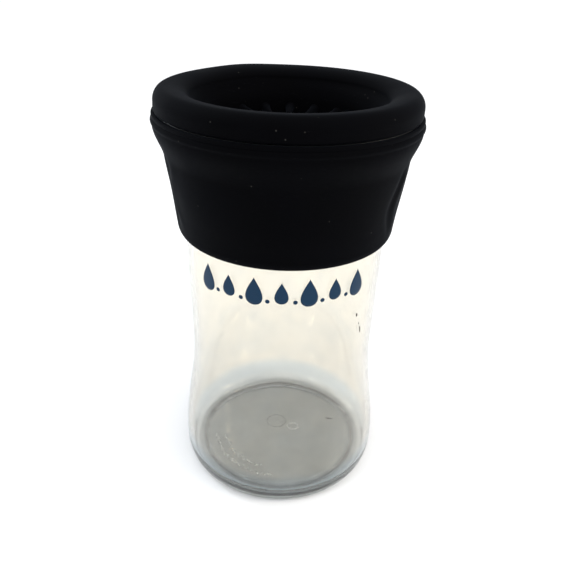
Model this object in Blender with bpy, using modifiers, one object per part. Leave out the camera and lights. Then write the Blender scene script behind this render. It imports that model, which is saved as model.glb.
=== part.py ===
"""Paw washer cup: clear tumbler, screw-on collar with a soft grip sleeve, and a lift-out bristle insert.

Metres, +Z up. The origin is the middle of the foot and every turned piece has Z as its axis.
Outlines are lists of (radius, height) points.
"""
import math

import bmesh
import bpy
from mathutils import Matrix

COLLECTION_NAME = "paw_washer_cup"

# Smoothness of turned pieces
TURN_STEPS = 60
ARC_STEPS = 4
WALL_STEPS = 8

# Heights above the table
TOTAL_HEIGHT = 0.1500
ROLL_HEIGHT = 0.0075
SHELF_THICKNESS = 0.0020
GASKET_THICKNESS = 0.0014
SLEEVE_HEIGHT = 0.0405
INSERT_DEPTH = 0.0395

# Tumbler
BODY_RADIUS = 0.0354
WAIST_RADIUS = 0.0349
WAIST_HEIGHT = 0.0560
UPPER_BODY_HEIGHT = 0.0905
BULGE_RADIUS = 0.0396
BULGE_HEIGHT = 0.0080
HEEL_WIDTH = 0.0040
FOOT_WIDTH = 0.0036
PUNT_DEPTH = 0.0014
PUNT_SLOPE = 0.0012
FLOOR_THICKNESS = 0.0026
TUMBLER_WALL = 0.0020
NECK_STEP = 0.0018
SHOULDER_HEIGHT = 0.0022

# Screw thread between the tumbler's neck and the collar
THREAD_PITCH = 0.0040
THREAD_TURNS = 0.9
THREAD_DEPTH = 0.0012
THREAD_ROOT_WIDTH = 0.0018
THREAD_CREST_WIDTH = 0.0010
THREAD_TOP_BELOW_MOUTH = 0.0075
THREAD_SINK = 0.0004
THREAD_PHASE = 0.5
COLLAR_LEAD_IN = 0.0010
NECK_RUN_OUT = 0.0030

# Collar, sleeve and rim
COLLAR_WALL = 0.0028
FLANGE_OVERHANG = 0.0043
SLEEVE_LIP_WALL = 0.0015
SLEEVE_NECK_WALL = 0.0027
SLEEVE_HEM_WALL = 0.0023
LIP_HEIGHT = 0.0035
LIP_BULGE = 0.0004
NECK_CURVE_HEIGHT = 0.0101
HEM_ROUND = 0.0032
HEM_TUCK = 0.0018
ROLL_SETBACK = 0.0007
ROLL_CREST_INSET = 0.0038
ROLL_SIDE_HEIGHT = 0.0032
ROLL_INNER_WIDTH = 0.0073
ROLL_INNER_DROP = 0.0036
FUNNEL_HEIGHT = 0.0120

# Bristle insert
INSERT_WALL = 0.0018
INSERT_EDGE_ROUND = 0.0009
BRISTLE_ROWS = 5
BRISTLES_PER_ROW = 20
BRISTLE_SIDES = 6
BRISTLE_LENGTH = 0.0095
BRISTLE_ROOT_RADIUS = 0.0015
BRISTLE_TIP_RADIUS = 0.0008
BRISTLE_EDGE_MARGIN = 0.0040
BRISTLE_ROOT_SINK = 0.0008

# Clearances
TOUCH_GAP = 0.0003
RUNNING_CLEARANCE = 0.0004

# Places that follow from the sizes above
SEAM_HEIGHT = TOTAL_HEIGHT - ROLL_HEIGHT
SHELF_TOP = SEAM_HEIGHT - TOUCH_GAP
SHELF_BOTTOM = SHELF_TOP - SHELF_THICKNESS
GASKET_TOP = SHELF_BOTTOM - TOUCH_GAP
MOUTH_HEIGHT = GASKET_TOP - GASKET_THICKNESS - TOUCH_GAP
NECK_THREAD_START = MOUTH_HEIGHT - THREAD_TOP_BELOW_MOUTH - THREAD_PITCH * THREAD_TURNS
COLLAR_THREAD_START = NECK_THREAD_START - THREAD_PITCH * THREAD_PHASE
COLLAR_BOTTOM = COLLAR_THREAD_START - THREAD_ROOT_WIDTH / 2 - COLLAR_LEAD_IN
NECK_BOTTOM = COLLAR_BOTTOM - NECK_RUN_OUT
SHOULDER_BOTTOM = NECK_BOTTOM - SHOULDER_HEIGHT
SLEEVE_BOTTOM = SHELF_TOP - SLEEVE_HEIGHT
NECK_RADIUS = BODY_RADIUS - NECK_STEP
NECK_BORE = NECK_RADIUS - TUMBLER_WALL
THREAD_CREST = NECK_RADIUS + THREAD_DEPTH
COLLAR_BORE = THREAD_CREST + RUNNING_CLEARANCE
COLLAR_RADIUS = COLLAR_BORE + COLLAR_WALL
FLANGE_RADIUS = COLLAR_RADIUS + FLANGE_OVERHANG
SLEEVE_BORE = BODY_RADIUS + RUNNING_CLEARANCE
SLEEVE_UPPER_BORE = COLLAR_RADIUS + TOUCH_GAP
LIP_RADIUS = FLANGE_RADIUS + TOUCH_GAP + SLEEVE_LIP_WALL
INSERT_RADIUS = NECK_BORE - RUNNING_CLEARANCE
INSERT_BORE = INSERT_RADIUS - INSERT_WALL
INSERT_BOTTOM = SEAM_HEIGHT - INSERT_DEPTH
ROLL_RADIUS = LIP_RADIUS - ROLL_SETBACK


def arc(centre_r, centre_z, half_width, half_height, start_deg, end_deg, steps=ARC_STEPS):
    """Points along an elliptical arc in the (radius, height) plane, both ends included."""
    points = []
    for step in range(steps + 1):
        angle = math.radians(start_deg + (end_deg - start_deg) * step / steps)
        points.append((centre_r + half_width * math.cos(angle), centre_z + half_height * math.sin(angle)))
    return points


def ease(t):
    """Smooth step from 0 to 1 that starts and ends level."""
    return 0.5 - 0.5 * math.cos(math.pi * min(max(t, 0.0), 1.0))


def draw_in(t, start, end, end_slope):
    """Cubic from start, where it is level, to end, where its slope over t is end_slope."""
    return start * (2 * t**3 - 3 * t**2 + 1) + end * (3 * t**2 - 2 * t**3) + end_slope * (t**3 - t**2)


def body_radius(height):
    """Outer radius of the tumbler between its bulge and its shoulder."""
    if height >= WAIST_HEIGHT:
        share = ease((height - WAIST_HEIGHT) / (UPPER_BODY_HEIGHT - WAIST_HEIGHT))
        return WAIST_RADIUS + (BODY_RADIUS - WAIST_RADIUS) * share
    share = ease((WAIST_HEIGHT - height) / (WAIST_HEIGHT - BULGE_HEIGHT))
    return WAIST_RADIUS + (BULGE_RADIUS - WAIST_RADIUS) * share


def clean_outline(points):
    """Drop points that repeat the one before."""
    kept = []
    for point in points:
        if not kept or math.dist(kept[-1], point) > TOUCH_GAP / 10:
            kept.append(point)
    return kept


def add_material(name, colour, roughness, metallic=0.0, transmission=0.0, alpha=1.0):
    """One Principled material."""
    material = bpy.data.materials.new(name)
    material.use_nodes = True
    shader = material.node_tree.nodes["Principled BSDF"]
    shader.inputs["Base Color"].default_value = (*colour, 1.0)
    shader.inputs["Roughness"].default_value = roughness
    shader.inputs["Metallic"].default_value = metallic
    shader.inputs["Transmission Weight"].default_value = transmission
    shader.inputs["Alpha"].default_value = alpha
    return material


def link_object(name, mesh, collection, material=None):
    """A new object for a mesh, linked to a collection."""
    piece = bpy.data.objects.new(name, mesh)
    collection.objects.link(piece)
    if material is not None:
        mesh.materials.append(material)
    return piece


def turned_piece(name, outline, closed, collection, material=None):
    """Turn an outline round Z. It runs down the outer side first, then back up the inner side."""
    points = clean_outline(outline)
    bm = bmesh.new()
    verts = [bm.verts.new((r, 0.0, z)) for r, z in points]
    for lower, upper in zip(verts, verts[1:]):
        bm.edges.new((lower, upper))
    if closed:
        bm.edges.new((verts[-1], verts[0]))
    mesh = bpy.data.meshes.new(name)
    bm.to_mesh(mesh)
    bm.free()
    piece = link_object(name, mesh, collection, material)
    screw = piece.modifiers.new("turn", "SCREW")
    screw.axis = "Z"
    screw.steps = TURN_STEPS
    screw.render_steps = TURN_STEPS
    screw.use_merge_vertices = True
    screw.merge_threshold = 0.00001
    screw.use_smooth_shade = True
    return piece


def add_cutter(name, bm, cutters):
    """A helper solid for a Boolean, shown as wire and never rendered."""
    mesh = bpy.data.meshes.new(name)
    bm.to_mesh(mesh)
    bm.free()
    helper = link_object(name, mesh, cutters)
    helper.hide_render = True
    helper.display_type = "WIRE"
    return helper


def join_with(piece, helper):
    """Unite a piece with a helper solid."""
    union = piece.modifiers.new(helper.name, "BOOLEAN")
    union.operation = "UNION"
    union.object = helper


def thread_ridge(name, root_radius, crest_radius, start_height, cutters):
    """One helical ridge, right-handed, with its root sunk into the wall that carries it."""
    sink = math.copysign(THREAD_SINK, root_radius - crest_radius)
    bm = bmesh.new()
    section = [
        (root_radius + sink, -THREAD_ROOT_WIDTH / 2),
        (root_radius + sink, THREAD_ROOT_WIDTH / 2),
        (crest_radius, THREAD_CREST_WIDTH / 2),
        (crest_radius, -THREAD_CREST_WIDTH / 2),
    ]
    verts = [bm.verts.new((r, 0.0, start_height + z)) for r, z in section]
    face = bm.faces.new(verts)
    steps = round(TURN_STEPS * THREAD_TURNS)
    bmesh.ops.spin(
        bm,
        geom=[face, *face.edges, *face.verts],
        cent=(0.0, 0.0, 0.0),
        axis=(0.0, 0.0, 1.0),
        dvec=(0.0, 0.0, THREAD_PITCH * THREAD_TURNS / steps),
        angle=math.tau * THREAD_TURNS,
        steps=steps,
    )
    bmesh.ops.holes_fill(bm, edges=[edge for edge in bm.edges if edge.is_boundary])
    bmesh.ops.recalc_face_normals(bm, faces=bm.faces)
    off_the_facet_edges = Matrix.Rotation(math.pi / TURN_STEPS, 4, "Z")
    bmesh.ops.transform(bm, matrix=off_the_facet_edges, verts=bm.verts)
    return add_cutter(name, bm, cutters)


def tumbler_outline():
    """Clear cup: outer wall downwards, heel, foot and punt, then the inside upwards."""
    outer = [(NECK_RADIUS - TOUCH_GAP, MOUTH_HEIGHT), (NECK_RADIUS, MOUTH_HEIGHT - TOUCH_GAP)]
    outer += [(NECK_RADIUS, NECK_BOTTOM), (BODY_RADIUS, SHOULDER_BOTTOM), (BODY_RADIUS, UPPER_BODY_HEIGHT)]
    inner = []
    for step in range(1, WALL_STEPS):
        height = UPPER_BODY_HEIGHT + (BULGE_HEIGHT - UPPER_BODY_HEIGHT) * step / WALL_STEPS
        outer.append((body_radius(height), height))
        inner.insert(0, (body_radius(height) - TUMBLER_WALL, height))
    heel_centre = BULGE_RADIUS - HEEL_WIDTH
    outer += arc(heel_centre, BULGE_HEIGHT, HEEL_WIDTH, BULGE_HEIGHT, 0.0, -90.0, ARC_STEPS + 1)
    foot_inner = heel_centre - FOOT_WIDTH
    outer += [(foot_inner, 0.0), (foot_inner - PUNT_SLOPE, PUNT_DEPTH), (0.0, PUNT_DEPTH)]
    floor = PUNT_DEPTH + FLOOR_THICKNESS
    inner_bulge = BULGE_RADIUS - TUMBLER_WALL
    corner_height = max(BULGE_HEIGHT, floor + HEEL_WIDTH) - floor
    heel = [(0.0, floor)]
    heel += arc(inner_bulge - HEEL_WIDTH, floor + corner_height, HEEL_WIDTH, corner_height, -90.0, 0.0)
    inner = [point for point in inner if point[1] > floor + corner_height]
    bore = [(BODY_RADIUS - TUMBLER_WALL, UPPER_BODY_HEIGHT), (BODY_RADIUS - TUMBLER_WALL, SHOULDER_BOTTOM)]
    bore += [(NECK_BORE, NECK_BOTTOM), (NECK_BORE, MOUTH_HEIGHT - TOUCH_GAP), (NECK_BORE + TOUCH_GAP, MOUTH_HEIGHT)]
    return outer + heel + inner + bore + [outer[0]]


def collar_outline():
    """Rigid threaded collar: shelf over the gasket, flange under the rim, skirt round the neck."""
    return [
        (NECK_BORE, SHELF_TOP),
        (FLANGE_RADIUS, SHELF_TOP),
        (FLANGE_RADIUS, SHELF_BOTTOM),
        (COLLAR_RADIUS, SHELF_BOTTOM),
        (COLLAR_RADIUS, COLLAR_BOTTOM),
        (COLLAR_BORE, COLLAR_BOTTOM),
        (COLLAR_BORE, SHELF_BOTTOM),
        (NECK_BORE, SHELF_BOTTOM),
    ]


def gasket_outline():
    """Flat sealing washer on the tumbler's mouth."""
    outer = COLLAR_BORE - TOUCH_GAP
    bottom = GASKET_TOP - GASKET_THICKNESS
    return [(NECK_BORE, GASKET_TOP), (outer, GASKET_TOP), (outer, bottom), (NECK_BORE, bottom)]


def sleeve_outline():
    """Soft grip sleeve: lip round the flange, drawn in under it, then a tapering skirt."""
    neck_radius = SLEEVE_UPPER_BORE + SLEEVE_NECK_WALL
    hem_radius = SLEEVE_BORE + SLEEVE_HEM_WALL
    lip_bottom = SHELF_TOP - LIP_HEIGHT
    neck_bottom = lip_bottom - NECK_CURVE_HEIGHT
    hem_top = SLEEVE_BOTTOM + HEM_ROUND
    edge = TOUCH_GAP
    outer = [(LIP_RADIUS - edge, SHELF_TOP), (LIP_RADIUS, SHELF_TOP - edge)]
    outer += [(LIP_RADIUS + LIP_BULGE, (SHELF_TOP + lip_bottom) / 2), (LIP_RADIUS, lip_bottom)]
    skirt_slope = (hem_radius - neck_radius) * NECK_CURVE_HEIGHT / (neck_bottom - hem_top)
    for step in range(1, WALL_STEPS):
        share = step / WALL_STEPS
        radius = draw_in(share, LIP_RADIUS, neck_radius, skirt_slope)
        outer.append((radius, lip_bottom - NECK_CURVE_HEIGHT * share))
    outer += [(neck_radius, neck_bottom)]
    outer += arc(hem_radius - HEM_TUCK, hem_top, HEM_TUCK, HEM_ROUND, 0.0, -90.0)
    collar_clear = COLLAR_BOTTOM - TOUCH_GAP
    inner = [(SLEEVE_BORE, SLEEVE_BOTTOM), (SLEEVE_BORE, collar_clear), (SLEEVE_UPPER_BORE, collar_clear)]
    inner += [(SLEEVE_UPPER_BORE, SHELF_BOTTOM - TOUCH_GAP)]
    inner += [(FLANGE_RADIUS + TOUCH_GAP, SHELF_BOTTOM - TOUCH_GAP), (FLANGE_RADIUS + TOUCH_GAP, SHELF_TOP)]
    return outer + inner


def insert_outline():
    """Bristle insert: rolled rim that rests on the collar, funnel and wall down inside the neck."""
    crest_radius = ROLL_RADIUS - ROLL_CREST_INSET
    shoulder_height = ROLL_HEIGHT - ROLL_SIDE_HEIGHT
    outer = arc(crest_radius, SEAM_HEIGHT + ROLL_SIDE_HEIGHT, ROLL_CREST_INSET, shoulder_height, 90.0, 0.0)
    outer += [(ROLL_RADIUS, SEAM_HEIGHT + TOUCH_GAP), (ROLL_RADIUS - TOUCH_GAP, SEAM_HEIGHT)]
    outer += [(INSERT_RADIUS, SEAM_HEIGHT), (INSERT_RADIUS, INSERT_BOTTOM + INSERT_EDGE_ROUND)]
    outer += [(INSERT_RADIUS - INSERT_EDGE_ROUND, INSERT_BOTTOM)]
    inner = [(INSERT_BORE, INSERT_BOTTOM + INSERT_EDGE_ROUND), (INSERT_BORE, TOTAL_HEIGHT - FUNNEL_HEIGHT)]
    roll_inner = crest_radius - ROLL_INNER_WIDTH
    funnel_top = TOTAL_HEIGHT - ROLL_INNER_DROP
    inner.append(((INSERT_BORE + roll_inner) / 2, (TOTAL_HEIGHT - FUNNEL_HEIGHT + funnel_top) / 2))
    inner += arc(crest_radius, funnel_top, ROLL_INNER_WIDTH, ROLL_INNER_DROP, 180.0, 90.0)
    return outer + inner[:-1]


def bristle_cones(cutters):
    """All bristles as tapered cones that point at the axis, in staggered rows."""
    root_distance = INSERT_BORE + BRISTLE_ROOT_SINK
    length = BRISTLE_LENGTH + BRISTLE_ROOT_SINK
    lowest = INSERT_BOTTOM + BRISTLE_EDGE_MARGIN
    highest = TOTAL_HEIGHT - FUNNEL_HEIGHT - BRISTLE_EDGE_MARGIN / 2
    bm = bmesh.new()
    for row in range(BRISTLE_ROWS):
        height = lowest + (highest - lowest) * row / (BRISTLE_ROWS - 1)
        for place in range(BRISTLES_PER_ROW):
            turn = math.tau * (place + 0.5 * (row % 2)) / BRISTLES_PER_ROW
            pointing_in = Matrix.Rotation(-math.pi / 2, 4, "Y")
            outwards = Matrix.Translation((root_distance - length / 2, 0.0, height))
            bmesh.ops.create_cone(
                bm,
                cap_ends=True,
                segments=BRISTLE_SIDES,
                radius1=BRISTLE_ROOT_RADIUS,
                radius2=BRISTLE_TIP_RADIUS,
                depth=length,
                matrix=Matrix.Rotation(turn, 4, "Z") @ outwards @ pointing_in,
            )
    return add_cutter("bristle_cones", bm, cutters)


def build_tumbler(parts, cutters):
    """Clear tumbler with its neck thread."""
    clear = add_material("clear_plastic", (0.86, 0.84, 0.78), 0.08, transmission=0.9, alpha=0.4)
    tumbler = turned_piece("tumbler", tumbler_outline(), False, parts, clear)
    ridge = thread_ridge("neck_thread", NECK_RADIUS, THREAD_CREST, NECK_THREAD_START, cutters)
    join_with(tumbler, ridge)


def build_collar(parts, cutters):
    """Rigid collar with the thread that screws onto the neck."""
    dark = add_material("black_polypropylene", (0.02, 0.02, 0.022), 0.45)
    collar = turned_piece("collar_ring", collar_outline(), True, parts, dark)
    crest = COLLAR_BORE - THREAD_DEPTH
    ridge = thread_ridge("collar_thread", COLLAR_BORE, crest, COLLAR_THREAD_START, cutters)
    join_with(collar, ridge)


def build_insert(parts, cutters):
    """Silicone insert with its bristles moulded on."""
    silicone = add_material("black_silicone", (0.012, 0.012, 0.014), 0.75)
    insert = turned_piece("bristle_insert", insert_outline(), True, parts, silicone)
    join_with(insert, bristle_cones(cutters))


def build_soft_rings(parts):
    """Grip sleeve and sealing gasket."""
    grip = add_material("soft_touch_silicone", (0.010, 0.010, 0.012), 0.8)
    turned_piece("grip_sleeve", sleeve_outline(), True, parts, grip)
    seal = add_material("grey_silicone", (0.42, 0.42, 0.42), 0.6)
    turned_piece("sealing_gasket", gasket_outline(), True, parts, seal)


def main():
    for old in list(bpy.data.objects):
        bpy.data.objects.remove(old, do_unlink=True)
    parts = bpy.data.collections.new(COLLECTION_NAME)
    cutters = bpy.data.collections.new("cutters")
    bpy.context.scene.collection.children.link(parts)
    bpy.context.scene.collection.children.link(cutters)
    build_tumbler(parts, cutters)
    build_collar(parts, cutters)
    build_insert(parts, cutters)
    build_soft_rings(parts)


main()
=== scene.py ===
"""Looks of the paw washer cup: smooth turned pieces, soft silicone, clear scuffed plastic and the stage."""
import math

import bmesh
import bpy
from bpy.props import FloatProperty, FloatVectorProperty, IntProperty, PointerProperty
from mathutils import Euler, Matrix, Vector


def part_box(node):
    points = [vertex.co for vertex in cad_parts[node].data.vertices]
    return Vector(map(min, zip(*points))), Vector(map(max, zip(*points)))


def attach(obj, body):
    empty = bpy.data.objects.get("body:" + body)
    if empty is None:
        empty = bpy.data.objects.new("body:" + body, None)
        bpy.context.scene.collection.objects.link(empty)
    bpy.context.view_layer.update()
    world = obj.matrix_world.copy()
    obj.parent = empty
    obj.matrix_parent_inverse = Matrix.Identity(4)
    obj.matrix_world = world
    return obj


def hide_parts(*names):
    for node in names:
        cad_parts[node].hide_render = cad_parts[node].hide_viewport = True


bl_info = {
    "name": "Paw washer cup",
    "version": (1, 0, 0),
    "blender": (4, 5, 0),
    "location": "View3D > Sidebar > Paw Cup",
    "description": "Builds a clear paw washer cup with a soft black collar and a bristle insert",
    "category": "Object",
}

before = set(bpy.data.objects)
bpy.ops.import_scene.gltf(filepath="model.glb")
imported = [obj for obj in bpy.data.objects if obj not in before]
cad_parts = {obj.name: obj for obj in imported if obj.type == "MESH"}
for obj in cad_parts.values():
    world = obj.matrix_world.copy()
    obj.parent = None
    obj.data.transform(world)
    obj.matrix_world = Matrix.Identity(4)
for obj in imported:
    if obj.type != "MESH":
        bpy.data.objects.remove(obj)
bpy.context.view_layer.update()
BOXES = {node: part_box(node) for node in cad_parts}

MM = 0.001
TAU = math.tau

# how finely the outlines are stepped, and how many steps a full turn has
SHOULDER_STEPS = 8
GROOVE_STEPS = 12
WALL_STEPS = 48
THREAD_STEPS = 96
LIP_STEPS = 6
CURVE_STEPS = 24
RIGID_STEPS = 144
FUNNEL_STEPS = 13
RIM_STEPS = 180
SLEEVE_STEPS = 300

# creases in the sleeve's skirt: place round from the front in radians, depth in metres, width in radians
CREASES = (
    (math.radians(60.0), 0.5 * MM, 0.05),
    (math.radians(-68.0), 0.45 * MM, 0.06),
)
CREASE_WANDER = 0.05
SKIRT_WAVE = 0.12 * MM

# where the skirt's unevenness starts and ends, and over what it fades, as shares of the sleeve's height
UNEVEN_FROM = 0.06
UNEVEN_TO = 0.72
FADE_IN = 0.2
FADE_OUT = 0.12

# the soft rim leans right at its back, has a corner and a hollow (place, size, width in radians), and waves
RIM_SHIFT = 0.7 * MM
RIM_CORNER = (math.radians(118.0), 0.35 * MM, 0.28)
RIM_HOLLOW = (math.radians(146.0), 0.25 * MM, 0.4)
RIM_WAVE = 0.12 * MM
RIM_FULL_RADIUS = 0.04

# the rim starts to lean just above the seam and leans fully a little higher
LEAN_FROM = 0.5 * MM
LEAN_OVER = 3.0 * MM

# how thick a film is, and how far the middle of the print and of the scuffs stands off the wall
FILM_THICKNESS = 0.03 * MM
PRINT_LIFT = 0.04 * MM
SCUFF_LIFT = 0.03 * MM

# how far the marks on the floor stand off it
RING_LIFT = 0.005 * MM
DOT_LIFT = 0.004 * MM
FLOOR_SCUFF_LIFT = 0.02 * MM

# scuffs on the wall: degrees round from the front, then height, width and length in millimetres
WALL_SCUFFS = ((47.0, 79.0, 0.9, 1.6), (52.0, 71.5, 0.7, 3.4), (50.0, 74.5, 0.5, 0.9))
WALL_SCUFF_TILT = 14.0
# the scuff on the floor: place, width and length in millimetres, and tilt in degrees
FLOOR_SCUFF = (22.5, 7.0, 3.4, 0.9, -12.0)
# rings on the floor: place, radius, half width and height in millimetres
GATE_RING = (-1.4, 4.3, 4.1, 0.11, 0.08)
EJECTOR_RING = (6.2, 1.2, 2.1, 0.35, 0.3)
# arcs of raised dots on the floor: radius in millimetres, first and last angle in degrees, and count
DOT_ARCS = ((27.5, 192.0, 268.0, 30), (23.8, 196.0, 256.0, 20))
DOT_HEIGHT = 0.35 * MM

# the floor that the cup stands on lies a hair below its foot, and the lights aim at the cup's middle
FLOOR_RADIUS = 6.0
FLOOR_DROP = 0.02 * MM
LIGHT_AIM = Vector((0.0, 0.0, 0.07))


# ------------------------------------------------------------------ sizes and colours

def length(name, value, description):
    """A length in metres that a user can change."""
    return FloatProperty(name=name, default=value, description=description, unit="LENGTH", precision=5)


def share_of(name, value, description):
    """A share of another size."""
    return FloatProperty(name=name, default=value, description=description, subtype="FACTOR")


def power(name, value, description):
    """The power of a light in watts."""
    return FloatProperty(name=name, default=value, description=description, unit="POWER")


def srgb(hex_text):
    """An sRGB hex colour as a linear RGBA value."""
    channels = [int(hex_text[i : i + 2], 16) / 255 for i in (0, 2, 4)]
    linear = [c / 12.92 if c <= 0.04045 else ((c + 0.055) / 1.055) ** 2.4 for c in channels]
    return (*linear, 1.0)


def colour(name, hex_text, description):
    """A colour that a user can change, given as sRGB hex."""
    return FloatVectorProperty(
        name=name, default=srgb(hex_text), description=description, subtype="COLOR", size=4, min=0.0, max=1.0
    )


def lighter(tone, factor):
    """The same colour, brighter or darker by a factor."""
    return (*[min(channel * factor, 1.0) for channel in tone[:3]], 1.0)


def high_of(node):
    """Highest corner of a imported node."""
    return BOXES[node][1]


def low_of(node):
    """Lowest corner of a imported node."""
    return BOXES[node][0]


class PawCupTumblerSizes(bpy.types.PropertyGroup):
    """Sizes of the clear tumbler."""

    bulge_radius: length("Bulge radius", high_of("tumbler").x, "Widest radius, just above the heel")
    mouth_height: length("Mouth height", high_of("tumbler").z, "Height of the mouth above the foot")
    body_radius: length("Body radius", 0.0354, "Radius of the straight part under the sleeve")
    waist_radius: length("Waist radius", 0.0349, "Smallest radius of the hand grip")
    waist_height: length("Waist height", 0.0560, "Height of the waist")
    upper_height: length("Upper height", 0.0905, "Height where the body runs straight")
    bulge_height: length("Bulge height", 0.0080, "Height of the widest ring")
    heel_width: length("Heel width", 0.0040, "How far the heel rounds in to the foot")
    foot_width: length("Foot width", 0.0036, "Width of the ring it stands on")
    punt_depth: length("Punt depth", 0.0014, "Height of the recess under the base")
    floor_thickness: length("Floor thickness", 0.0026, "Thickness of the floor")
    wall: length("Wall", 0.0020, "Wall thickness")
    moat_width: length("Moat width", 0.0030, "Width of the shallow groove round the floor's edge")
    moat_depth: length("Moat depth", 0.0010, "Depth of the groove round the floor's edge")
    neck_step: length("Neck step", 0.0018, "How far the neck steps in from the body")
    neck_run_out: length("Neck run-out", 0.0030, "Plain neck below the collar")
    shoulder_height: length("Shoulder height", 0.0022, "Height of the shoulder under the neck")
    mouth_round: length("Mouth round", 0.0006, "Rounding of the mouth's edges")
    punt_slope: length("Punt slope", 0.0012, "Width of the slope from the foot to the recess")


class PawCupThreadSizes(bpy.types.PropertyGroup):
    """Sizes of the screw thread between neck and collar."""

    pitch: length("Pitch", 0.0040, "Rise in one turn")
    turns: FloatProperty(name="Turns", default=0.9, description="Length of each ridge in turns")
    depth: length("Depth", 0.0012, "How far a ridge stands out")
    root_width: length("Root width", 0.0018, "Width of a ridge at its root")
    crest_width: length("Crest width", 0.0010, "Width of a ridge at its crest")
    below_mouth: length("Below mouth", 0.0075, "From the mouth down to the ridge's upper end")
    sink: length("Sink", 0.0003, "How far a ridge's root sits inside the wall that carries it")
    clearance: length("Clearance", 0.0004, "Running clearance of the thread")


class PawCupCollarSizes(bpy.types.PropertyGroup):
    """Sizes of the rigid collar ring."""

    shelf_thickness: length("Shelf thickness", 0.0020, "Thickness of the shelf over the gasket")
    flange_overhang: length("Flange overhang", 0.0043, "How far the flange stands out past the skirt")
    edge_round: length("Edge round", 0.0004, "Rounding of the edges")
    touch_gap: length("Touch gap", 0.0003, "Gap between pieces that touch")


class PawCupSoftSizes(bpy.types.PropertyGroup):
    """Sizes of the silicone pieces."""

    skirt_gap: length("Skirt gap", 0.0004, "Gap between the sleeve's skirt and the tumbler")
    neck_wall: length("Neck wall", 0.0027, "Sleeve wall where it is drawn in")
    hem_wall: length("Hem wall", 0.0023, "Sleeve wall at the hem")
    edge_round: length("Edge round", 0.00045, "Rounding of the sleeve's top edges")
    lip_wall: length("Lip wall", 0.0015, "Sleeve wall round the flange")
    lip_height: length("Lip height", 0.0035, "Height of the sleeve's lip")
    groove_drop: length("Groove drop", 0.0011, "From the sleeve's top down to the thin line round its lip")
    groove_height: length("Groove height", 0.00045, "Height of the thin line round the lip")
    groove_depth: length("Groove depth", 0.00018, "Depth of the thin line round the lip")
    curve_height: length("Curve height", 0.0101, "Height of the drawn-in curve")
    hem_round: length("Hem round", 0.0034, "Height of the rounded hem")
    hem_tuck: length("Hem tuck", 0.0019, "How far the hem rounds in")
    insert_wall: length("Insert wall", 0.0018, "Wall of the bristle insert")
    crest_inset: length("Crest inset", 0.0038, "From the rim's outer side in to its crest")
    side_height: length("Side height", 0.0032, "Upright side of the rolled rim")
    rim_edge_round: length("Rim edge round", 0.0007, "Rounding of the rim's lower edge")
    inner_width: length("Inner width", 0.0073, "From the crest in to the funnel")
    inner_drop: length("Inner drop", 0.0036, "How far the rim rolls down inside")
    funnel_height: length("Funnel height", 0.0120, "Height of the funnel below the crest")


class PawCupBristleSizes(bpy.types.PropertyGroup):
    """Sizes of the moulded bristles."""

    rows: IntProperty(name="Rows", default=5, description="Rows of bristles")
    per_row: IntProperty(name="Per row", default=20, description="Bristles in each row")
    reach: length("Reach", 0.0095, "From the wall to the tip")
    root_radius: length("Root radius", 0.0015, "Radius near the wall")
    tip_radius: length("Tip radius", 0.0008, "Radius of the rounded tip")
    root_sink: length("Root sink", 0.0004, "How far a bristle's root sits inside the wall")
    flare_height: length("Flare height", 0.0010, "Height of the flared root")
    edge_margin: length("Edge margin", 0.0040, "Height of the lowest row above the insert's edge")


class PawCupMotifSizes(bpy.types.PropertyGroup):
    """Sizes of the printed row of drops."""

    count: IntProperty(name="Count", default=7, description="Drops in the row")
    spacing: length("Spacing", 0.0090, "From one drop to the next along the wall")
    drop_height: length("Drop height", 0.0100, "Height of the larger drops")
    small_drop: share_of("Small drop", 0.78, "Height of the smaller drops against the larger")
    slimness: share_of("Slimness", 0.62, "Width of a drop against its height")
    dot_width: length("Dot width", 0.0015, "Width of the dots between them")
    dot_drop: length("Dot drop", 0.0032, "From the row's middle down to the dots")
    below_sleeve: length("Below sleeve", 0.0088, "From the sleeve's hem down to the row's middle")


class PawCupColours(bpy.types.PropertyGroup):
    """Colours of the finishes."""

    silicone: colour("Silicone", "020203", "Soft-touch black silicone")
    silicone_dust: colour("Silicone dust", "2f2e2b", "Lint and dust that silicone picks up")
    sheen: colour("Sheen", "9fb0c8", "Cool sheen of the soft surface at a grazing angle")
    # the clear colour's warm tone is painted light: it stands in for the warm room seen through the wall
    clear: colour("Clear", "fbf7ee", "Clear plastic")
    depth: colour("Depth", "bcc0bb", "Colour that thick plastic takes on")
    # painted shade: the floor of the cup is tinted a little grey and cool where less light reaches it
    floor_shade_tint: colour("Base haze", "f6fafb", "Faint film on the floor of the cup")
    # painted cool reflected light on the heel; the same colour also tints the water marks
    heel_light_and_water_mark_tint: colour("Heel haze", "e4ecf0", "Cool tone of the thick heel")
    # the film colour is painted shade: the dark line along the groove round the floor
    film: colour("Film", "77756a", "Dried film in the groove round the floor")
    ink: colour("Ink", "0a2a42", "Navy printing ink")
    collar: colour("Collar", "0c0d0e", "Black polypropylene")
    seal: colour("Seal", "a9aaa7", "Grey sealing silicone")
    relief: colour("Relief", "f4f6f6", "Worn tops of the raised relief")
    mark: colour("Mark", "3a3733", "Dark scuff marks")
    floor: colour("Floor", "ffffff", "Pale floor")


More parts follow.
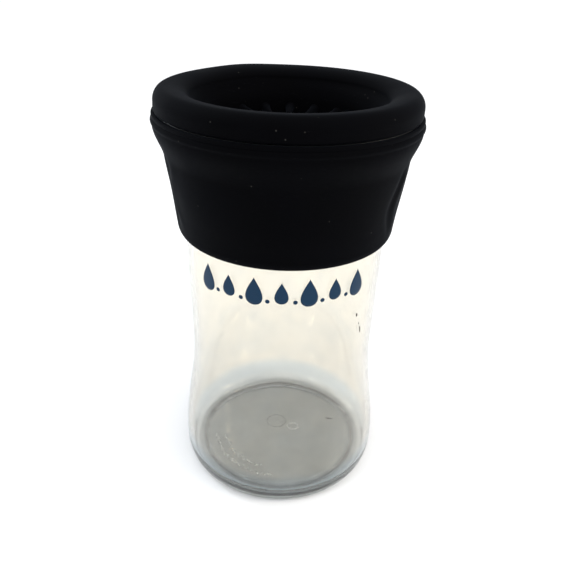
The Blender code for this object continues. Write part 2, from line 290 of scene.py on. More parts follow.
class PawCupView(bpy.types.PropertyGroup):
    """Camera and lights."""

    camera_place: FloatVectorProperty(
        name="Camera", default=(0.0026, -0.1933, 0.1856), description="Camera position", subtype="TRANSLATION"
    )
    pitch: FloatProperty(
        name="Pitch", default=math.radians(30.0), description="Tilt below level", subtype="ANGLE"
    )
    roll: FloatProperty(
        name="Roll", default=math.radians(2.14), description="Lean of the camera", subtype="ANGLE"
    )
    lens: FloatProperty(
        name="Lens", default=36.0, description="Focal length on a 36 mm sensor", unit="CAMERA"
    )
    window_power: power("Window", 1.2, "Power of the cool window light")
    lamp_power: power("Lamp", 0.8, "Power of the warm room light")
    glint_power: power("Glint", 0.3, "Power of each small light that glints in the heel")
    top_power: power("Top", 0.1, "Power of the overhead light")
    day: FloatProperty(name="Day", default=1.0, description="Strength of the broad daylight from above")
    sky: FloatProperty(name="Sky", default=0.79, description="Strength of the even room light")


class PawCupSettings(bpy.types.PropertyGroup):
    """Everything that a user would change."""

    tumbler: PointerProperty(type=PawCupTumblerSizes)
    thread: PointerProperty(type=PawCupThreadSizes)
    collar: PointerProperty(type=PawCupCollarSizes)
    soft: PointerProperty(type=PawCupSoftSizes)
    bristle: PointerProperty(type=PawCupBristleSizes)
    motif: PointerProperty(type=PawCupMotifSizes)
    colours: PointerProperty(type=PawCupColours)
    view: PointerProperty(type=PawCupView)


def settings():
    """The settings on the scene."""
    return bpy.context.scene.paw_cup


# ------------------------------------------------------------------ outlines

def ease(t):
    """Smooth step from 0 to 1 that starts and ends level."""
    return 0.5 - 0.5 * math.cos(math.pi * min(max(t, 0.0), 1.0))


def draw_in(t, start, end, end_slope):
    """Cubic from start, where it is level, to end, where its slope over t is end_slope."""
    return start * (2 * t**3 - 3 * t**2 + 1) + end * (3 * t**2 - 2 * t**3) + end_slope * (t**3 - t**2)


def arc(centre_r, centre_z, half_width, half_height, start_deg, end_deg, steps):
    """Points along an elliptical arc in the (radius, height) plane, both ends included."""
    points = []
    for step in range(steps + 1):
        angle = math.radians(start_deg + (end_deg - start_deg) * step / steps)
        points.append((centre_r + half_width * math.cos(angle), centre_z + half_height * math.sin(angle)))
    return points


def straight(start, end, steps):
    """Points on a straight line after its start, end included."""
    return [
        (start[0] + (end[0] - start[0]) * step / steps, start[1] + (end[1] - start[1]) * step / steps)
        for step in range(1, steps + 1)
    ]


def eased(start, end, steps):
    """Points after start, end included, whose radius changes smoothly while the height falls evenly."""
    points = []
    for step in range(1, steps + 1):
        share = step / steps
        radius = start[0] + (end[0] - start[0]) * ease(share)
        points.append((radius, start[1] + (end[1] - start[1]) * share))
    return points


def body_radius(height):
    """Outer radius of the tumbler's wall at a height."""
    size = settings().tumbler
    if height >= size.waist_height:
        share = ease((height - size.waist_height) / (size.upper_height - size.waist_height))
        return size.waist_radius + (size.body_radius - size.waist_radius) * share
    share = ease((size.waist_height - height) / (size.waist_height - size.bulge_height))
    return size.waist_radius + (size.bulge_radius - size.waist_radius) * share


def neck_radius():
    """Outer radius of the tumbler's neck."""
    size = settings().tumbler
    return size.body_radius - size.neck_step


def neck_bore():
    """Inner radius of the tumbler's neck."""
    return neck_radius() - settings().tumbler.wall


def shoulder_heights():
    """Heights where the neck ends and where the shoulder below it ends."""
    size = settings().tumbler
    neck_low = low_of("collar_ring").z - size.neck_run_out
    return neck_low, neck_low - size.shoulder_height


def floor_height():
    """Height of the floor inside the tumbler."""
    size = settings().tumbler
    return size.punt_depth + size.floor_thickness


def wall_heights():
    """Heights down the waisted wall, between its straight top and its widest ring."""
    size = settings().tumbler
    return [
        size.upper_height + (size.bulge_height - size.upper_height) * step / WALL_STEPS
        for step in range(1, WALL_STEPS)
    ]


def collar_skirt():
    """Outer radius of the collar's skirt."""
    return high_of("collar_ring").x - settings().collar.flange_overhang


def collar_bore():
    """Inner radius of the collar's skirt."""
    thread = settings().thread
    return neck_radius() + thread.depth + thread.clearance


def thread_start():
    """Height of the lower end of the neck's ridge."""
    thread = settings().thread
    return settings().tumbler.mouth_height - thread.below_mouth - thread.pitch * thread.turns


def insert_radius():
    """Outer radius of the insert's wall."""
    return neck_bore() - settings().thread.clearance


def insert_bore():
    """Inner radius of the insert's wall."""
    return insert_radius() - settings().soft.insert_wall


# ------------------------------------------------------------------ mesh tools

def turned_bmesh(outline, closed, steps):
    """A profile turned round Z. Points on the axis are merged into one pole."""
    bm = bmesh.new()
    verts = [bm.verts.new((r, 0.0, z)) for r, z in outline]
    edges = [bm.edges.new(pair) for pair in zip(verts, verts[1:])]
    if closed:
        edges.append(bm.edges.new((verts[-1], verts[0])))
    bmesh.ops.spin(
        bm,
        geom=verts + edges,
        cent=(0.0, 0.0, 0.0),
        axis=(0.0, 0.0, 1.0),
        angle=TAU,
        steps=steps,
        use_merge=True,
        use_duplicate=False,
    )
    bmesh.ops.remove_doubles(bm, verts=bm.verts, dist=0.002 * MM)
    bmesh.ops.recalc_face_normals(bm, faces=bm.faces)
    return bm


def merge_in(bm, part, matrix):
    """Move a small bmesh into place, add it to a bigger one and free it."""
    bmesh.ops.transform(part, matrix=matrix, verts=part.verts)
    spare = bpy.data.meshes.new("part")
    part.to_mesh(spare)
    part.free()
    bm.from_mesh(spare)
    bpy.data.meshes.remove(spare)


def finish_piece(name, bm, material, body, nodes=(), sharp_deg=40.0):
    """Turn a bmesh into a finished piece that rides on a body."""
    mesh = bpy.data.meshes.new(name)
    bm.to_mesh(mesh)
    bm.free()
    mesh.materials.append(material)
    mesh.shade_smooth()
    mesh.set_sharp_from_angle(angle=math.radians(sharp_deg))
    piece = bpy.data.objects.new(name, mesh)
    bpy.context.scene.collection.objects.link(piece)
    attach(piece, body)
    if nodes:
        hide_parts(*nodes)
    return piece


def helix_ridge(root_radius, crest_radius, start_height):
    """One right-handed thread ridge with square ends, its root sunk into the wall that carries it."""
    thread = settings().thread
    sink = math.copysign(thread.sink, root_radius - crest_radius)
    bm = bmesh.new()
    section = [
        (root_radius + sink, -thread.root_width / 2),
        (root_radius + sink, thread.root_width / 2),
        (crest_radius, thread.crest_width / 2),
        (crest_radius, -thread.crest_width / 2),
    ]
    face = bm.faces.new([bm.verts.new((r, 0.0, start_height + z)) for r, z in section])
    steps = round(THREAD_STEPS * thread.turns)
    bmesh.ops.spin(
        bm,
        geom=[face, *face.edges, *face.verts],
        cent=(0.0, 0.0, 0.0),
        axis=(0.0, 0.0, 1.0),
        dvec=(0.0, 0.0, thread.pitch * thread.turns / steps),
        angle=TAU * thread.turns,
        steps=steps,
    )
    bmesh.ops.holes_fill(bm, edges=[edge for edge in bm.edges if edge.is_boundary])
    bmesh.ops.recalc_face_normals(bm, faces=bm.faces)
    return bm


# ------------------------------------------------------------------ materials

def add_node(tree, kind, set_to=None, links=None, **attributes):
    """Add a node, set its attributes and sockets, and link other nodes' outputs into it."""
    node = tree.nodes.new(kind)
    for key, value in attributes.items():
        setattr(node, key, value)
    for key, value in (set_to or {}).items():
        node.inputs[key].default_value = value
    for key, output in (links or {}).items():
        tree.links.new(output, node.inputs[key])
    return node


def new_material(name):
    """An empty node material with its output and Principled shader."""
    material = bpy.data.materials.new(name)
    material.use_nodes = True
    tree = material.node_tree
    tree.nodes.clear()
    shader = add_node(tree, "ShaderNodeBsdfPrincipled")
    add_node(tree, "ShaderNodeOutputMaterial", links={"Surface": shader.outputs["BSDF"]})
    place = add_node(tree, "ShaderNodeTexCoord").outputs["Object"]
    return material, tree, shader, place


def soft_touch_silicone(name, dust_amount):
    """Moulded liquid silicone rubber with a soft-touch skin: nearly black, matte, cool at its edges.

    A fine orange peel breaks up the light, faint mottling shows handling, and lint sits on it in specks.
    """
    colours = settings().colours
    material, tree, shader, place = new_material(name)
    mottle = add_node(tree, "ShaderNodeTexNoise", {"Scale": 60.0, "Detail": 3.0}, {"Vector": place})
    base = colours.silicone
    tone = add_node(tree, "ShaderNodeValToRGB", links={"Fac": mottle.outputs["Fac"]})
    tone.color_ramp.elements[0].position = 0.35
    tone.color_ramp.elements[0].color = base
    tone.color_ramp.elements[1].position = 0.75
    tone.color_ramp.elements[1].color = lighter(base, 2.0)
    # specks up to 0.6 mm across in cells of 2.5 mm, most of which are left empty
    cells = add_node(
        tree, "ShaderNodeTexVoronoi", {"Scale": 400.0, "Randomness": 1.0}, {"Vector": place}, feature="F1"
    )
    near = add_node(
        tree, "ShaderNodeMapRange", {"From Min": 0.05, "From Max": 0.12, "To Min": 1.0, "To Max": 0.0},
        {"Value": cells.outputs["Distance"]},
    )
    few = add_node(
        tree, "ShaderNodeMath", {1: 1.0 - dust_amount}, {0: cells.outputs["Color"]}, operation="GREATER_THAN"
    )
    speck = add_node(
        tree, "ShaderNodeMath",
        links={0: near.outputs["Result"], 1: few.outputs["Value"]},
        operation="MULTIPLY",
    )
    dusted = add_node(
        tree, "ShaderNodeMixRGB", {"Color2": colours.silicone_dust},
        {"Fac": speck.outputs["Value"], "Color1": tone.outputs["Color"]},
    )
    tree.links.new(dusted.outputs["Color"], shader.inputs["Base Color"])
    rough = add_node(
        tree, "ShaderNodeMapRange", {"From Min": 0.3, "From Max": 0.7, "To Min": 0.64, "To Max": 0.78},
        {"Value": mottle.outputs["Fac"]},
    )
    tree.links.new(rough.outputs["Result"], shader.inputs["Roughness"])
    # orange peel 0.3 mm across, drawn a little coarser than real so that it shows
    peel = add_node(tree, "ShaderNodeTexNoise", {"Scale": 2600.0, "Detail": 2.0}, {"Vector": place})
    bump = add_node(
        tree, "ShaderNodeBump", {"Strength": 0.35, "Distance": 0.05 * MM}, {"Height": peel.outputs["Fac"]}
    )
    tree.links.new(bump.outputs["Normal"], shader.inputs["Normal"])
    shader.inputs["IOR"].default_value = 1.41
    shader.inputs["Specular IOR Level"].default_value = 0.03
    shader.inputs["Sheen Weight"].default_value = 0.03
    shader.inputs["Sheen Roughness"].default_value = 0.45
    shader.inputs["Sheen Tint"].default_value = colours.sheen
    return material


def clear_plastic():
    """Injection-moulded clear copolyester: glossy, see-through, with hairline scuffs and water marks.

    Painted light and shade tint it: a greyish floor, a cool heel, a warm wall, and a dark groove round the
    floor.
    """
    colours = settings().colours
    size = settings().tumbler
    material, tree, shader, place = new_material("clear_moulded_plastic")
    parts = add_node(tree, "ShaderNodeSeparateXYZ", links={"Vector": place})
    # painted light and shade by height: the floor is greyish with painted shade, the heel cool with painted
    # cool reflected light, and the wall above them warm and clear, standing in for the warm room seen through
    # it
    floor_top = floor_height()
    reach = size.waist_height
    share = add_node(tree, "ShaderNodeMath", {1: reach}, {0: parts.outputs["Z"]}, operation="DIVIDE")
    painted_light_zones = add_node(tree, "ShaderNodeValToRGB", links={"Fac": share.outputs["Value"]})
    ramp = painted_light_zones.color_ramp.elements
    ramp[0].position = (floor_top + 0.2 * MM) / reach
    ramp[0].color = colours.floor_shade_tint
    ramp[1].position = (size.bulge_height + 7.0 * MM) / reach
    ramp[1].color = colours.clear
    for height in (floor_top + 1.4 * MM, size.bulge_height + 2.5 * MM):
        ramp.new(height / reach).color = colours.heel_light_and_water_mark_tint
    # painted shade darkens the groove round the floor, and water marks lie unevenly on the floor itself
    flat = add_node(tree, "ShaderNodeVectorMath", {1: (1.0, 1.0, 0.0)}, {0: place}, operation="MULTIPLY")
    away = add_node(tree, "ShaderNodeVectorMath", links={0: flat.outputs["Vector"]}, operation="LENGTH")
    groove = size.bulge_radius - size.wall - size.heel_width - size.moat_width / 2
    offset = add_node(tree, "ShaderNodeMath", {1: groove}, {0: away.outputs["Value"]}, operation="SUBTRACT")
    apart = add_node(tree, "ShaderNodeMath", links={0: offset.outputs["Value"]}, operation="ABSOLUTE")
    ring = add_node(
        tree, "ShaderNodeMapRange",
        {"From Min": 0.3 * MM, "From Max": 1.5 * MM, "To Min": 1.0, "To Max": 0.0},
        {"Value": apart.outputs["Value"]}, interpolation_type="SMOOTHSTEP",
    )
    low = add_node(
        tree, "ShaderNodeMapRange",
        {"From Min": floor_top + 0.3 * MM, "From Max": floor_top + 1.0 * MM, "To Min": 1.0, "To Max": 0.0},
        {"Value": parts.outputs["Z"]},
    )
    # mask of the painted shade along the groove, near the floor's height
    film = add_node(
        tree, "ShaderNodeMath",
        links={0: ring.outputs["Result"], 1: low.outputs["Result"]},
        operation="MULTIPLY",
    )
    cloud = add_node(tree, "ShaderNodeTexNoise", {"Scale": 90.0, "Detail": 4.0}, {"Vector": place})
    patch = add_node(
        tree, "ShaderNodeMapRange", {"From Min": 0.45, "From Max": 0.7, "To Min": 0.0, "To Max": 0.5},
        {"Value": cloud.outputs["Fac"]},
    )
    # the wall carries the same water marks as the floor, fainter
    where = add_node(tree, "ShaderNodeMath", {1: 0.35}, {0: low.outputs["Result"]}, operation="MAXIMUM")
    patchy = add_node(
        tree, "ShaderNodeMath",
        links={0: patch.outputs["Result"], 1: where.outputs["Value"]},
        operation="MULTIPLY",
    )
    clouded = add_node(
        tree, "ShaderNodeMixRGB", {"Color2": colours.heel_light_and_water_mark_tint},
        {"Fac": patchy.outputs["Value"], "Color1": painted_light_zones.outputs["Color"]},
    )
    # the film colour is mixed in here as painted shade along the groove round the floor
    groove_shade_tinted = add_node(
        tree, "ShaderNodeMixRGB", {"Color2": colours.film},
        {"Fac": film.outputs["Value"], "Color1": clouded.outputs["Color"]},
    )
    tree.links.new(groove_shade_tinted.outputs["Color"], shader.inputs["Base Color"])
    # hairlines run up the wall, about 0.4 mm apart
    stretched = add_node(tree, "ShaderNodeMapping", {"Scale": (1.0, 1.0, 0.06)}, {"Vector": place})
    hairlines = add_node(
        tree, "ShaderNodeTexNoise", {"Scale": 2200.0, "Detail": 3.0}, {"Vector": stretched.outputs["Vector"]}
    )
    lines = add_node(
        tree, "ShaderNodeMapRange", {"From Min": 0.55, "From Max": 0.75, "To Min": 0.0, "To Max": 1.0},
        {"Value": hairlines.outputs["Fac"]},
    )
    rough = add_node(
        tree, "ShaderNodeMapRange", {"From Min": 0.35, "From Max": 0.75, "To Min": 0.008, "To Max": 0.035},
        {"Value": cloud.outputs["Fac"]},
    )
    tree.links.new(rough.outputs["Result"], shader.inputs["Roughness"])
    clearness = add_node(
        tree, "ShaderNodeMapRange", {"From Min": 0.3, "From Max": 0.8, "To Min": 0.99, "To Max": 0.95},
        {"Value": cloud.outputs["Fac"]},
    )
    tree.links.new(clearness.outputs["Result"], shader.inputs["Transmission Weight"])
    bump = add_node(
        tree, "ShaderNodeBump", {"Strength": 0.12, "Distance": 0.03 * MM}, {"Height": lines.outputs["Result"]}
    )
    tree.links.new(bump.outputs["Normal"], shader.inputs["Normal"])
    shader.inputs["IOR"].default_value = 1.57
    # long paths through the wall's edges and the heel darken, short ones stay clear
    body = add_node(tree, "ShaderNodeVolumeAbsorption", {"Color": colours.depth, "Density": 50.0})
    output = next(node for node in tree.nodes if node.type == "OUTPUT_MATERIAL")
    tree.links.new(body.outputs["Volume"], output.inputs["Volume"])
    return material


def navy_ink():
    """Screen-printed ink: an opaque, slightly glossy film with a faint unevenness from the screen."""
    material, tree, shader, place = new_material("navy_screen_ink")
    shader.inputs["Specular IOR Level"].default_value = 0.15
    grain = add_node(tree, "ShaderNodeTexNoise", {"Scale": 1500.0, "Detail": 2.0}, {"Vector": place})
    rough = add_node(
        tree, "ShaderNodeMapRange", {"To Min": 0.28, "To Max": 0.5}, {"Value": grain.outputs["Fac"]}
    )
    tree.links.new(rough.outputs["Result"], shader.inputs["Roughness"])
    tone = add_node(tree, "ShaderNodeValToRGB", links={"Fac": grain.outputs["Fac"]})
    deep = settings().colours.ink
    tone.color_ramp.elements[0].color = deep
    tone.color_ramp.elements[1].color = lighter(deep, 1.35)
    tree.links.new(tone.outputs["Color"], shader.inputs["Base Color"])
    return material


def frosted_relief():
    """Raised relief on the floor: the same clear plastic, its tops frosted by wear and pale."""
    material, tree, shader, place = new_material("frosted_plastic_relief")
    grain = add_node(tree, "ShaderNodeTexNoise", {"Scale": 1200.0, "Detail": 2.0}, {"Vector": place})
    rough = add_node(
        tree, "ShaderNodeMapRange", {"To Min": 0.1, "To Max": 0.35}, {"Value": grain.outputs["Fac"]}
    )
    tree.links.new(rough.outputs["Result"], shader.inputs["Roughness"])
    shader.inputs["Base Color"].default_value = settings().colours.relief
    shader.inputs["Transmission Weight"].default_value = 0.45
    shader.inputs["IOR"].default_value = 1.57
    return material


def scuff_mark():
    """Rubbed-in dirt: a dull brown-black smear, uneven along its length."""
    if "scuff_dirt" in bpy.data.materials:
        return bpy.data.materials["scuff_dirt"]
    material, tree, shader, place = new_material("scuff_dirt")
    grain = add_node(tree, "ShaderNodeTexNoise", {"Scale": 2500.0, "Detail": 2.0}, {"Vector": place})
    tone = add_node(tree, "ShaderNodeValToRGB", links={"Fac": grain.outputs["Fac"]})
    dark = settings().colours.mark
    tone.color_ramp.elements[0].color = dark
    tone.color_ramp.elements[1].color = lighter(dark, 3.5)
    tree.links.new(tone.outputs["Color"], shader.inputs["Base Color"])
    shader.inputs["Roughness"].default_value = 0.8
    return material


def black_polypropylene():
    """Moulded polypropylene: dark, satin, with a fine spark-eroded grain."""
    material, tree, shader, place = new_material("black_polypropylene")
    grain = add_node(tree, "ShaderNodeTexNoise", {"Scale": 1800.0, "Detail": 2.0}, {"Vector": place})
    tone = add_node(tree, "ShaderNodeValToRGB", links={"Fac": grain.outputs["Fac"]})
    dark = settings().colours.collar
    tone.color_ramp.elements[0].color = dark
    tone.color_ramp.elements[1].color = lighter(dark, 1.5)
    tree.links.new(tone.outputs["Color"], shader.inputs["Base Color"])
    rough = add_node(
        tree, "ShaderNodeMapRange", {"To Min": 0.34, "To Max": 0.5}, {"Value": grain.outputs["Fac"]}
    )
    tree.links.new(rough.outputs["Result"], shader.inputs["Roughness"])
    bump = add_node(
        tree, "ShaderNodeBump", {"Strength": 0.3, "Distance": 0.03 * MM}, {"Height": grain.outputs["Fac"]}
    )
    tree.links.new(bump.outputs["Normal"], shader.inputs["Normal"])
    shader.inputs["IOR"].default_value = 1.49
    return material


def seal_silicone():
    """Grey sealing silicone: satin, slightly see-through, with a faint cloudy tone."""
    material, tree, shader, place = new_material("grey_sealing_silicone")
    cloud = add_node(tree, "ShaderNodeTexNoise", {"Scale": 300.0, "Detail": 3.0}, {"Vector": place})
    tone = add_node(tree, "ShaderNodeValToRGB", links={"Fac": cloud.outputs["Fac"]})
    grey = settings().colours.seal
    tone.color_ramp.elements[0].color = lighter(grey, 0.85)
    tone.color_ramp.elements[1].color = grey
    tree.links.new(tone.outputs["Color"], shader.inputs["Base Color"])
    rough = add_node(
        tree, "ShaderNodeMapRange", {"To Min": 0.4, "To Max": 0.55}, {"Value": cloud.outputs["Fac"]}
    )
    tree.links.new(rough.outputs["Result"], shader.inputs["Roughness"])
    shader.inputs["IOR"].default_value = 1.41
    return material


# ------------------------------------------------------------------ pieces

def tumbler_outside():
    """Outer side from the mouth's rim down to the middle of the recessed base."""
    size = settings().tumbler
    neck = neck_radius()
    edge = size.mouth_round
    neck_low, shoulder_low = shoulder_heights()
    points = arc(neck - edge, size.mouth_height - edge, edge, edge, 90, 0, 4)
    points += straight(points[-1], (neck, neck_low), 4)
    points += eased((neck, neck_low), (size.body_radius, shoulder_low), SHOULDER_STEPS)
    points += straight(points[-1], (size.body_radius, size.upper_height), 6)
    points += [(body_radius(height), height) for height in wall_heights()]
    heel = size.bulge_radius - size.heel_width
    points += arc(heel, size.bulge_height, size.heel_width, size.bulge_height, 0, -90, 14)
    foot = heel - size.foot_width
    points += straight((heel, 0.0), (foot, 0.0), 2)
    for step in range(1, SHOULDER_STEPS + 1):
        share = step / SHOULDER_STEPS
        points.append((foot - size.punt_slope * share, size.punt_depth * ease(share)))
    points += straight(points[-1], (0.0, size.punt_depth), 12)
    return points


def tumbler_inside():
    """Inner side from the middle of the floor, through the groove round it, up to the mouth's rim."""
    size = settings().tumbler
    bore = neck_bore()
    edge = size.mouth_round
    neck_low, shoulder_low = shoulder_heights()
    inner_body = size.body_radius - size.wall
    floor = floor_height()
    heel = size.bulge_radius - size.wall - size.heel_width
    groove = heel - size.moat_width
    points = [(0.0, floor), *straight((0.0, floor), (groove, floor), 10)]
    for step in range(1, GROOVE_STEPS):
        share = step / GROOVE_STEPS
        dip = size.moat_depth * math.sin(math.pi * share) ** 2
        points.append((groove + size.moat_width * share, floor - dip))
    points += arc(heel, size.bulge_height, size.heel_width, size.bulge_height - floor, -90, 0, 12)
    points += [(body_radius(height) - size.wall, height) for height in reversed(wall_heights())]
    points += [(inner_body, size.upper_height)]
    points += straight(points[-1], (inner_body, shoulder_low), 6)
    points += eased((inner_body, shoulder_low), (bore, neck_low), SHOULDER_STEPS)
    points += straight(points[-1], (bore, size.mouth_height - edge), 4)
    points += arc(bore + edge, size.mouth_height - edge, edge, edge, 180, 90, 4)[1:]
    return points


class PAWCUP_OT_tumbler(bpy.types.Operator):
    """Clear waisted tumbler with a rounded heel, a shallow recess under its base and a threaded neck"""

    bl_idname = "paw_cup.tumbler"
    bl_label = "Tumbler"

    def execute(self, context):
        neck = neck_radius()
        plastic = clear_plastic()
        bm = turned_bmesh(tumbler_outside() + tumbler_inside(), True, RIGID_STEPS)
        finish_piece("tumbler_clear", bm, plastic, "cup", ["tumbler"])
        ridge = helix_ridge(neck, neck + settings().thread.depth, thread_start())
        finish_piece("tumbler_thread", ridge, plastic, "cup")
        return {"FINISHED"}


class PAWCUP_OT_gasket(bpy.types.Operator):
    """Flat sealing washer with rounded edges on the tumbler's mouth"""

    bl_idname = "paw_cup.gasket"
    bl_label = "Sealing gasket"

    def execute(self, context):
        low, high = BOXES["sealing_gasket"]
        half = (high.z - low.z) / 2
        middle = (high.z + low.z) / 2
        inner = neck_bore()
        outline = arc(high.x - half, middle, half, half, 90, -90, 8)
        outline += arc(inner + half, middle, half, half, 270, 90, 8)
        bm = turned_bmesh(outline, True, RIGID_STEPS)
        finish_piece("gasket", bm, seal_silicone(), "seal", ["sealing_gasket"])
        return {"FINISHED"}


class PAWCUP_OT_collar(bpy.types.Operator):
    """Rigid threaded collar with a shelf over the gasket and a flange under the rim"""

    bl_idname = "paw_cup.collar"
    bl_label = "Collar ring"

    def execute(self, context):
        low, high = BOXES["collar_ring"]
        bore = collar_bore()
        inner = neck_bore()
        skirt = collar_skirt()
        edge = settings().collar.edge_round
        shelf_low = high.z - settings().collar.shelf_thickness
        outline = arc(high.x - edge, high.z - edge, edge, edge, 90, 0, 4)
        outline += arc(high.x - edge, shelf_low + edge, edge, edge, 0, -90, 4)
        outline += [(skirt, shelf_low)]
        outline += arc(skirt - edge, low.z + edge, edge, edge, 0, -90, 4)
        outline += arc(bore + edge, low.z + edge, edge, edge, -90, -180, 4)
        outline += [(bore, shelf_low)]
        outline += arc(inner + edge, shelf_low + edge, edge, edge, -90, -180, 4)
        outline += arc(inner + edge, high.z - edge, edge, edge, 180, 90, 4)
        bm = turned_bmesh(outline, True, RIGID_STEPS)
        plastic = black_polypropylene()
        finish_piece("collar", bm, plastic, "collar", ["collar_ring"])
        thread = settings().thread
        ridge = helix_ridge(bore, bore - thread.depth, thread_start() - thread.pitch / 2)
        finish_piece("collar_thread", ridge, plastic, "collar")
        return {"FINISHED"}


def dent_sleeve(point):
    """How far the soft skirt of the sleeve is pushed out of round at a point, mostly in its two creases."""
    radius = math.hypot(point.x, point.y)
    turn = math.atan2(point.x, -point.y)
    low = low_of("grip_sleeve").z
    share = (point.z - low) / (high_of("grip_sleeve").z - low)
    push = SKIRT_WAVE * math.sin(3 * turn + 7 * share)
    for middle, depth, width in CREASES:
        wave = middle + CREASE_WANDER * math.sin(share * 11.0 + 0.6)
        away = (turn - wave) / width
        lip = 0.5 * math.exp(-((away - 1.9) ** 2))
        push += depth * (lip - math.exp(-away * away))
    fade = ease((UNEVEN_TO - share) / FADE_OUT) * ease((share - UNEVEN_FROM) / FADE_IN)
    return Vector((point.x, point.y, 0.0)) / radius * push * fade


def sleeve_outside(lip, hem):
    """Outer side of the sleeve: lip with a thin line round it, drawn-in curve, skirt and hem."""
    soft = settings().soft
    low, high = BOXES["grip_sleeve"]
    edge = soft.edge_round
    neck = collar_skirt() + settings().collar.touch_gap + soft.neck_wall
    lip_low = high.z - soft.lip_height
    neck_low = lip_low - soft.curve_height
    hem_top = low.z + soft.hem_round
    line_top = high.z - soft.groove_drop
    side_top = line_top - soft.groove_height
    points = arc(lip - edge, high.z - edge, edge, edge, 90, 0, 5)
    points += [(lip, line_top), (lip - soft.groove_depth, (line_top + side_top) / 2), (lip, side_top)]
    for step in range(1, LIP_STEPS + 1):
        share = step / LIP_STEPS
        radius = lip + (high.x - lip) * math.sin(math.pi * share)
        points.append((radius, side_top + (lip_low - side_top) * share))
    slope = (hem - neck) * soft.curve_height / (neck_low - hem_top)
    for step in range(1, CURVE_STEPS + 1):
        share = step / CURVE_STEPS
        points.append((draw_in(share, lip, neck, slope), lip_low - soft.curve_height * share))
    points += straight((neck, neck_low), (hem, hem_top), 30)
    points += arc(hem - soft.hem_tuck, hem_top, soft.hem_tuck, soft.hem_round, 0, -90, 12)[1:]
    return points


def sleeve_inside(bore, flange_bore):
    """Inner side of the sleeve, a touch clear of the tumbler and the collar."""
    soft = settings().soft
    touch = settings().collar.touch_gap
    low, high = BOXES["grip_sleeve"]
    edge = soft.edge_round
    skirt_bore = collar_skirt() + touch
    step_low = low_of("collar_ring").z - touch
    step_high = high.z - settings().collar.shelf_thickness - touch
    points = [(bore + touch * 2 / 3, low.z), (bore, low.z + touch)]
    points += straight(points[-1], (bore, step_low), 12)
    points += straight(points[-1], (skirt_bore, step_low), 2)
    points += straight(points[-1], (skirt_bore, step_high), 6)
    points += straight(points[-1], (flange_bore, step_high), 2)
    points += straight(points[-1], (flange_bore, high.z - edge), 2)
    points += arc(flange_bore + edge, high.z - edge, edge, edge, 180, 90, 4)[1:]
    return points


class PAWCUP_OT_sleeve(bpy.types.Operator):
    """Soft grip sleeve: lip round the flange, drawn in under it, then a tapering skirt with a rounded hem"""

    bl_idname = "paw_cup.sleeve"
    bl_label = "Grip sleeve"

    def execute(self, context):
        soft = settings().soft
        flange_bore = high_of("collar_ring").x + settings().collar.touch_gap
        bore = settings().tumbler.body_radius + soft.skirt_gap
        outside = sleeve_outside(flange_bore + soft.lip_wall, bore + soft.hem_wall)
        bm = turned_bmesh(outside + sleeve_inside(bore, flange_bore), True, SLEEVE_STEPS)
        for vert in bm.verts:
            if vert.co.to_2d().length > bore + soft.hem_wall / 2:
                vert.co += dent_sleeve(vert.co)
        material = soft_touch_silicone("soft_touch_silicone_sleeve", 0.22)
        finish_piece("sleeve", bm, material, "collar", ["grip_sleeve"])
        return {"FINISHED"}


def bump_at(turn, place, width):
    """A smooth bump of height 1 round a place on the rim, by angle."""
    return math.exp(-(((turn - place) / width) ** 2))


def lean_rim(point):
    """How far the soft rim is pushed at a point: right at its back, with a corner and a hollow there."""
    turn = math.atan2(point.y, point.x)
    corner_place, corner_height, corner_width = RIM_CORNER
    hollow_place, hollow_depth, hollow_width = RIM_HOLLOW
    lift = corner_height * (bump_at(turn, corner_place, corner_width) - 1.0)
    push = RIM_WAVE * math.sin(3 * turn + 0.7) - hollow_depth * bump_at(turn, hollow_place, hollow_width)
    shift = Vector((RIM_SHIFT * max(0.0, math.sin(turn)), 0.0, lift))
    out = Vector((math.cos(turn), math.sin(turn), 0.0))
    return shift + out * push * min(1.0, point.to_2d().length / RIM_FULL_RADIUS)


def insert_outline(seam):
    """Outline of the insert, from the rim's crest round its outer side, down the wall and up inside."""
    soft = settings().soft
    low, high = BOXES["bristle_insert"]
    roll = high.x
    crest = roll - soft.crest_inset
    wall_out = insert_radius()
    wall_in = insert_bore()
    edge = soft.rim_edge_round
    half_wall = soft.insert_wall / 2
    side_top = seam + soft.side_height
    points = arc(crest, side_top, soft.crest_inset, high.z - side_top, 90, 0, 18)
    points += straight(points[-1], (roll, seam + edge), 4)
    points += arc(roll - edge, seam + edge, edge, edge, 0, -90, 5)[1:]
    points += straight(points[-1], (wall_out, seam), 6)
    points += straight(points[-1], (wall_out, low.z + half_wall), 16)
    points += arc(wall_in + half_wall, low.z + half_wall, half_wall, half_wall, 0, -180, 8)[1:]
    funnel_low = high.z - soft.funnel_height
    funnel_top = high.z - soft.inner_drop
    points += straight(points[-1], (wall_in, funnel_low), 16)
    widening = crest - soft.inner_width - wall_in
    for step in range(1, FUNNEL_STEPS):
        share = step / FUNNEL_STEPS
        bend = share * share * (1.6 - 0.6 * share)
        points.append((wall_in + widening * bend, funnel_low + (funnel_top - funnel_low) * share))
    return points + arc(crest, funnel_top, soft.inner_width, soft.inner_drop, 180, 90, 18)[:-1]


class PAWCUP_OT_insert(bpy.types.Operator):
    """Bristle insert: soft rolled rim, funnel and wall down inside the neck"""

    bl_idname = "paw_cup.insert"
    bl_label = "Bristle insert"

    def execute(self, context):
        seam = high_of("collar_ring").z + settings().collar.touch_gap
        bm = turned_bmesh(insert_outline(seam), True, RIM_STEPS)
        for vert in bm.verts:
            vert.co += lean_rim(vert.co) * ease((vert.co.z - seam - LEAN_FROM) / LEAN_OVER)
        material = soft_touch_silicone("soft_touch_silicone_insert", 0.30)
        finish_piece("insert", bm, material, "insert", ["bristle_insert"])
        return {"FINISHED"}


